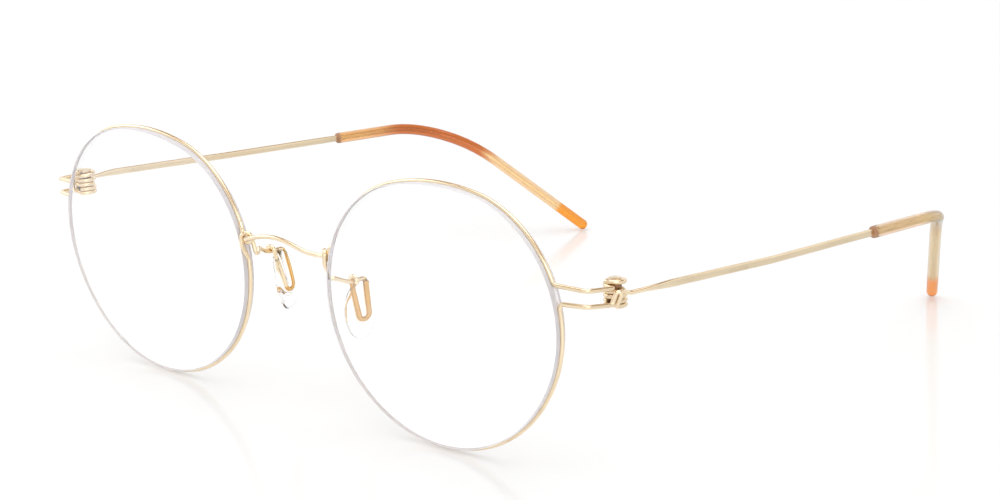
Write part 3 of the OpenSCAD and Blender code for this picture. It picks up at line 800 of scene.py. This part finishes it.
def in_pads(points):
    """True where a point is inside the ellipse of either pad and close to its middle plane."""
    inside = np.zeros(len(points), bool)
    for hand, mirrored in (("left", 1), ("right", -1)):
        way, middle = pad_axes(hand)
        spot = points * [mirrored, 1, 1] - middle
        across, high = spot @ pad_side / (pad_w / 2), spot @ way / (pad_h / 2 - 0.3)
        near = np.abs(spot @ np.cross(pad_side, way)) < 0.8
        inside |= near & (across ** 2 + high ** 2 < 1)
    return inside


bridge_path = np.concatenate([half_bridge("right")[::-1] * [-1, 1, 1], half_bridge("left")])
round_wire("bridge_and_pad_arms", bridge_path, "front", "bridge_wire", painted_deeper_at=in_pads)
print(in_pads(bridge_path).sum(), "rings of the wire lie inside the pads")

# %% [markdown]
# ## Lenses
# Each lens is a shallow shell: both faces are parts of spheres and the edge carries the
# groove for the wire. It is made of rings that follow the outline, from the middle of the
# front over the edge to the middle of the back. A solid with a true groove bends the
# light at the rim as the real one does, which a thin disc could not.

# %% Lenses
def lens(hand):
    """Lens from rings: point = share * outline moved out, at depth t from the edge's plane.

    Depth None stands for the front face's sag, and "back" for the sag plus the thickness."""
    a = np.arange(0, 360, 1.0)
    faces = [0.03, 0.15, 0.3, 0.45, 0.6, 0.72, 0.82, 0.9, 0.95, 0.98]
    phi = np.radians(np.linspace(-79, 79, 9))
    groove_r = wire_r + seat_gap
    groove = [(1, rim_off - groove_r * math.cos(p), rim_t + groove_r * math.sin(p)) for p in phi]
    profile = ([(s, 0, None) for s in faces] + [(1, -0.12, None), (1, 0, 0.1)] + groove
               + [(1, 0, lens_t - 0.1), (1, -0.12, "back")] + [(s, 0, "back") for s in faces[::-1]])
    rings = []
    for share, out, t in profile:
        flat = outline(a, out, share)
        curve = sag(np.linalg.norm(flat, axis=1))
        rings.append(on_front(flat, {None: curve, "back": curve + lens_t}.get(t, t)))
    poles = [on_front(np.zeros(2), sag(0.0)), on_front(np.zeros(2), sag(0.0) + lens_t)]
    bands = np.zeros(len(profile) - 1, int)
    bands[len(faces):-len(faces)] = 1
    piece = skin(hand + "_lens", np.array(rings), poles, "front", "lens_" + hand,
                 [lens_clear, ground_edge], bands=bands, mirror=hand == "right", sharp=25)
    piece.visible_shadow = False


for hand in hands:
    lens(hand)

# %% [markdown]
# ## Nose pads
# A pad is a soft drop: wider below than above, domed towards the nose and rounded along its
# edge. On the other side it is a thinner plate, from which a round ridge rises where the wire
# loop lies inside. The ridge acts as a lens and shows the loop much wider than it is. Each
# ring is the outline shrunk by a share, and the ridge follows from how far a point of the
# ring is from the loop, so it needs no modelling of its own.

# %% Nose pads
def nose_pad(hand):
    """Pad from rings on a dome, an edge and a plate with a ridge.

    The share of a ring is sin(phi) ** full and its depth between dome and plate follows
    cos(phi) ** full. The ridge's height is the root of ridge_r ** 2 - distance ** 2, and
    foot_soft rounds the line where it leaves the plate."""
    way, middle = pad_axes(hand)
    out = np.cross(-pad_side, way)
    a = np.radians(np.arange(0, 360, 2.5))
    ring = np.stack([pad_w / 2 * np.cos(a) * (1 - 0.14 * np.sin(a)), pad_h / 2 * np.sin(a)], -1)
    phi, full = np.radians(np.linspace(3, 177, 100)), 0.62
    depth = np.sign(np.cos(phi)) * np.abs(np.cos(phi)) ** full
    flat = (np.sin(phi) ** full)[:, None, None] * ring
    nose_side, dome_r, plate, ridge_r, foot_soft = pad_t * 0.56, 14, 0.35, 1.05, 0.02
    dome = nose_side - dome_r + np.sqrt(dome_r ** 2 - (flat ** 2).sum(-1))
    loop = dense(half_bridge(hand), 0.2) - middle
    loop = np.stack([loop @ -pad_side, loop @ way, loop @ out], -1)
    loop = loop[(np.abs(loop[:, 2]) < 0.3) & (loop[:, 1] < pad_h / 2 - 1.2)]
    away = np.linalg.norm(flat[:, :, None] - loop[:, :2], axis=-1).min(-1)
    ridge = np.sqrt(np.clip(ridge_r ** 2 - away ** 2, 0, None))
    back = -plate - 0.5 * (ridge - plate + np.sqrt((ridge - plate) ** 2 + foot_soft))
    z = (dome + back) / 2 + (dome - back) / 2 * depth[:, None]
    rings = middle + flat[..., :1] * -pad_side + flat[..., 1:] * way + z[..., None] * out
    poles = [middle + nose_side * out, middle - plate * out]
    piece = skin(hand + "_pad", rings, poles, "front", "nose_pad_" + hand,
                 [silicone], mirror=hand == "right")
    piece.visible_shadow = False


for hand in hands:
    nose_pad(hand)

# %% [markdown]
# ## Hinge pins
# Each hinge turns on a plain pin with domed ends inside the coils. The solid is already
# right, so it stays and only takes the pin's finish: plated at the ends that show, and painted
# dark brown between them as painted shade inside the coils.

# %% Finish of the hinge pins
for hand in hands:
    for material_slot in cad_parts["hinge_pin_" + hand].material_slots:
        material_slot.material = gold_pin_with_painted_shade
    print("hinge_pin_" + hand, "takes", gold_pin_with_painted_shade.name)

# %% [markdown]
# ## Temples
# A temple wire is wound one and a half times round the pin, leaves the hinge straight back,
# and is rolled flat over a few millimetres into a springy blade with rounded corners. The
# section changes along one unbroken path from a circle to that blade. Inside the tip it is
# drawn down to a narrow core, which the round plastic shows nearly twice as wide.

# %% Temple wires
exit_a = -15
turn = np.linspace(150, 720 + exit_a, 112)
temple_coil = on_coil(turn, mix(-temple_level, temple_level, eased((turn - 360) / 150)))
exit_point = on_coil(exit_a, temple_level)
way_out = heading_on_coil(exit_a)
dip_point = exit_point + 1.7 * way_out - [0, 0, temple_level + 0.2]
mid_point = np.array([hinge[0] + 2.85, 45, hinge[2] - 2.9])
core_end = tip_end - (tip_solid - tip_d / 2) * tail_way
tip_mouth = mix(mid_point, ear_point, (tip_y - mid_point[1]) / (ear_y - mid_point[1]))


def temple_path(hand):
    """Coil, then arcs at the corners of the way back to the end of the core."""
    bow_point = exit_point + 8.1 * way_out - [0, 0, temple_level + bow_drop[hand]]
    route = [exit_point, exit_point + 0.35 * way_out, dip_point, bow_point, mid_point, ear_point,
             tail_point, core_end]
    way = np.concatenate([bends(route, [1, 2, 20, 120, ear_r, tail_r]), [core_end]])
    return np.concatenate([temple_coil, dense(way, 1.2)])


def temple(hand):
    """Temple wire: half sizes run from a circle's to the blade's, then to the core's.

    Both changes are eased shares of the way back, and the corners get squarer as the
    first goes on."""
    rolled_from, rolled_over, squarest = 3, 7, 0.45
    drawn_from, drawn_over, dull_from = 0.1, 0.5, 0.2
    path, scale = with_ends(temple_path(hand), broken_edge, broken_edge)
    flatter = eased((path[:, 1] - hinge[1] - rolled_from) / rolled_over)
    in_tip = path[:, 1] - tip_mouth[1]
    drawn = eased((in_tip - drawn_from) / drawn_over)
    wide, tall = mix(blade_t, core_t, drawn), mix(blade_h, core_h, drawn)
    rings = swept(path, level(headings(path)), scale * mix(wire_r, wide / 2, flatter),
                  scale * mix(wire_r, tall / 2, flatter), square=squarest * flatter)
    bands = (in_tip[:-1] > dull_from).astype(int)
    skin(hand + "_temple", rings, path[[0, -1]], "temple_" + hand, "temple_wire_" + hand,
         [gold_wire, tip_core], bands=bands, mirror=hand == "right", sharp=40)


for hand in hands:
    temple(hand)

# %% [markdown]
# ## Temple tips
# A tip is a plastic rod that was heated, pushed over the core and bent behind the ear. Its
# mouth has a small rounded lip and its end is a half ball. It is drawn as a full rod round
# the core, without a hollow, because the plastic grips the core with no air between.

# %% Temple tips
def temple_tip(hand, finish):
    """Tip rod: constant radius along the path, a lip at the mouth, a half ball at the end."""
    r = tip_d / 2
    route = bends([tip_mouth, ear_point, tail_point, tip_end], [ear_r, tail_r])
    path = dense(np.concatenate([[tip_mouth + 0.25 * unit(ear_point - tip_mouth)], route,
                                 [tip_end]]), 1.5)
    phi, lip = np.radians(np.arange(10, 90, 10)), [(0.25, 0.84), (0.19, 0.93), (0.1, 0.985)]
    path, scale = with_ends(path, lip, np.stack([r * np.sin(phi), np.cos(phi)], 1))
    rings = swept(path, level(headings(path)), r * scale, r * scale, sides=28)
    bands = (np.arange(len(rings) - 1) < len(lip)).astype(int)
    skin(hand + "_tip", rings, [path[0], tip_end + r * tail_way], "temple_" + hand,
         "temple_tip_" + hand, [finish, sawn_amber], bands=bands,
         mirror=hand == "right")


for hand, finish in zip(hands, (amber_pale_painted_light, amber_deep_painted_light)):
    temple_tip(hand, finish)

# %% [markdown]
# ## Table and backdrop
# Small shiny things are shown on a white sheet of smooth acrylic that fades into a white
# wall. A little glow of its own, stronger through plastic than straight to the camera,
# keeps the floor white, and it still takes the soft shadow of the object and mirrors it
# faintly. For metal only, the sheet's colour is painted lighter in front of the glasses and
# darker behind them: a painted shade, which the lamps don't cast.

# %% Floor
floor_r, floor_z = 2.5, -0.0002
a = np.radians(np.arange(0, 360, 5.0))
edge = np.stack([floor_r * np.cos(a), floor_r * np.sin(a), np.full(len(a), floor_z)], 1)
mesh = bpy.data.meshes.new("floor")
mesh.from_pydata(edge.tolist(), [], [list(range(len(a)))])
floor = bpy.data.objects.new("floor", mesh)
bpy.context.scene.collection.objects.link(floor)
acrylic, tree, sockets = new_material("white_acrylic", Roughness=0.16, IOR=1.45)
sockets["Emission Color"].default_value = (1, 1, 1, 1)
ray = add(tree, "LightPath").outputs
glow = [math_node(tree, "MULTIPLY", ray[kind], share) for kind, share in (
    ("Is Camera Ray", 0.08), ("Is Glossy Ray", 0.02), ("Is Transmission Ray", 0.20))]
spot = add(tree, "SeparateXYZ", {0: add(tree, "TexCoord").outputs["Object"]}).outputs
# Painted shade: for reflections only, the sheet's colour is lighter in front of the glasses and
# darker behind them.
behind = spread(tree, spot["Y"], -0.07, 0.07)
mirrored = blend_colours(tree, behind, (0.86, 0.86, 0.86, 1), (0.62, 0.62, 0.62, 1))
feed(tree, sockets, {
    "Base Color": blend_colours(tree, ray["Is Glossy Ray"], (0.8, 0.8, 0.8, 1), mirrored),
    "Emission Strength": most(tree, *glow)})
mesh.materials.append(acrylic)
print("floor is", floor.dimensions.x, "m across")

# %% [markdown]
# ## Light
# The light comes from all around, as in a light tent, so no wire has a burnt highlight. The
# tent shows as full white but lights with less, which leaves some work to the panels. Metal
# needs something dark to mirror or it looks like chalk, so the tent has a dim band high up,
# between the overhead panel and the walls. Reflections see that band in full and clear plastic
# passes on a third of it, which gives lenses and pads their faint outlines.

# %% World and lamps
world = bpy.data.worlds.new("light_tent")
bpy.context.scene.world = world
world.use_nodes = True
tree = world.node_tree
background = tree.nodes["Background"]
way = add(tree, "SeparateXYZ", {0: add(tree, "TexCoord").outputs["Generated"]}).outputs["Z"]
ray = add(tree, "LightPath").outputs
lights, shows = 0.62, 1.0
share = most(tree, ray["Is Camera Ray"], ray["Is Glossy Ray"], ray["Is Transmission Ray"])
band = math_node(tree, "MULTIPLY", spread(tree, way, 0.53, 0.64), spread(tree, way, 0.92, 0.81))
through = math_node(tree, "MULTIPLY", ray["Is Transmission Ray"], 0.35)
band = math_node(tree, "MULTIPLY", band, most(tree, ray["Is Glossy Ray"], through))
feed(tree, background.inputs, {
    "Strength": math_node(tree, "ADD", lights, math_node(tree, "MULTIPLY", share, shows - lights)),
    "Color": blend_colours(tree, band, (1, 1, 1, 1), (0.32, 0.20, 0.12, 1))})


def aim(thing, axes, at):
    """Put a lamp or a camera at a place, with its right, up and back directions."""
    thing.matrix_world = Matrix([[*axes[:, i], at[i]] for i in range(3)] + [[0, 0, 0, 1]])
    bpy.context.scene.collection.objects.link(thing)


def lamp(name, at, size, power):
    """Square soft panel that faces the middle of the glasses."""
    data = bpy.data.lights.new(name, "AREA")
    data.size, data.energy = size, power
    way = unit(np.array([0, 0, 0.02]) - at)
    right = unit(np.cross(way, [0, 0.01, 1]))
    aim(bpy.data.objects.new(name, data), np.stack([right, np.cross(right, way), -way]), at)
    print(f"{name}: {size} m, {power} W")


lamp("panel_above", (0.1, -0.1, 1.3), 1.7, 11.5)
lamp("panel_left", (-1.2, -0.5, 0.7), 0.8, 3.0)
lamp("panel_right", (1.1, -0.7, 0.6), 0.8, 3.0)

# %% [markdown]
# ## Camera
# The glasses are seen from the wearer's left, a little above, with a long lens, so that the
# far temple shows through the far lens. The camera's place is given on the front, in
# millimetres, and stood up with it. Its axes are three square directions, built from two
# angles and a small roll.

# %% Camera
azimuth, height, roll = (math.radians(v) for v in (44.161, 15.491, -2.902))
away, aside, above = 422.853, 35.724, 5.128
back = np.array([math.sin(azimuth) * math.cos(height), -math.cos(azimuth) * math.cos(height),
                 math.sin(height)])
right = np.array([math.cos(azimuth), math.sin(azimuth), 0])
up = np.cross(back, right)
right, up = (math.cos(roll) * right + math.sin(roll) * up,
             -math.sin(roll) * right + math.cos(roll) * up)
at = stand(away * back + aside * right + above * up)
camera = bpy.data.objects.new("camera", bpy.data.cameras.new("camera"))
camera.data.lens, camera.data.sensor_width = 90.838, 36.0
camera.data.clip_start = 0.01
aim(camera, turned(np.stack([right, up, back])), at)
bpy.context.scene.camera = camera
bpy.context.scene.view_settings.view_transform = "Standard"
print("camera at", at.round(4))

# %% [markdown]
# Looks never change the size.

# %% Finish
bpy.context.view_layer.update()
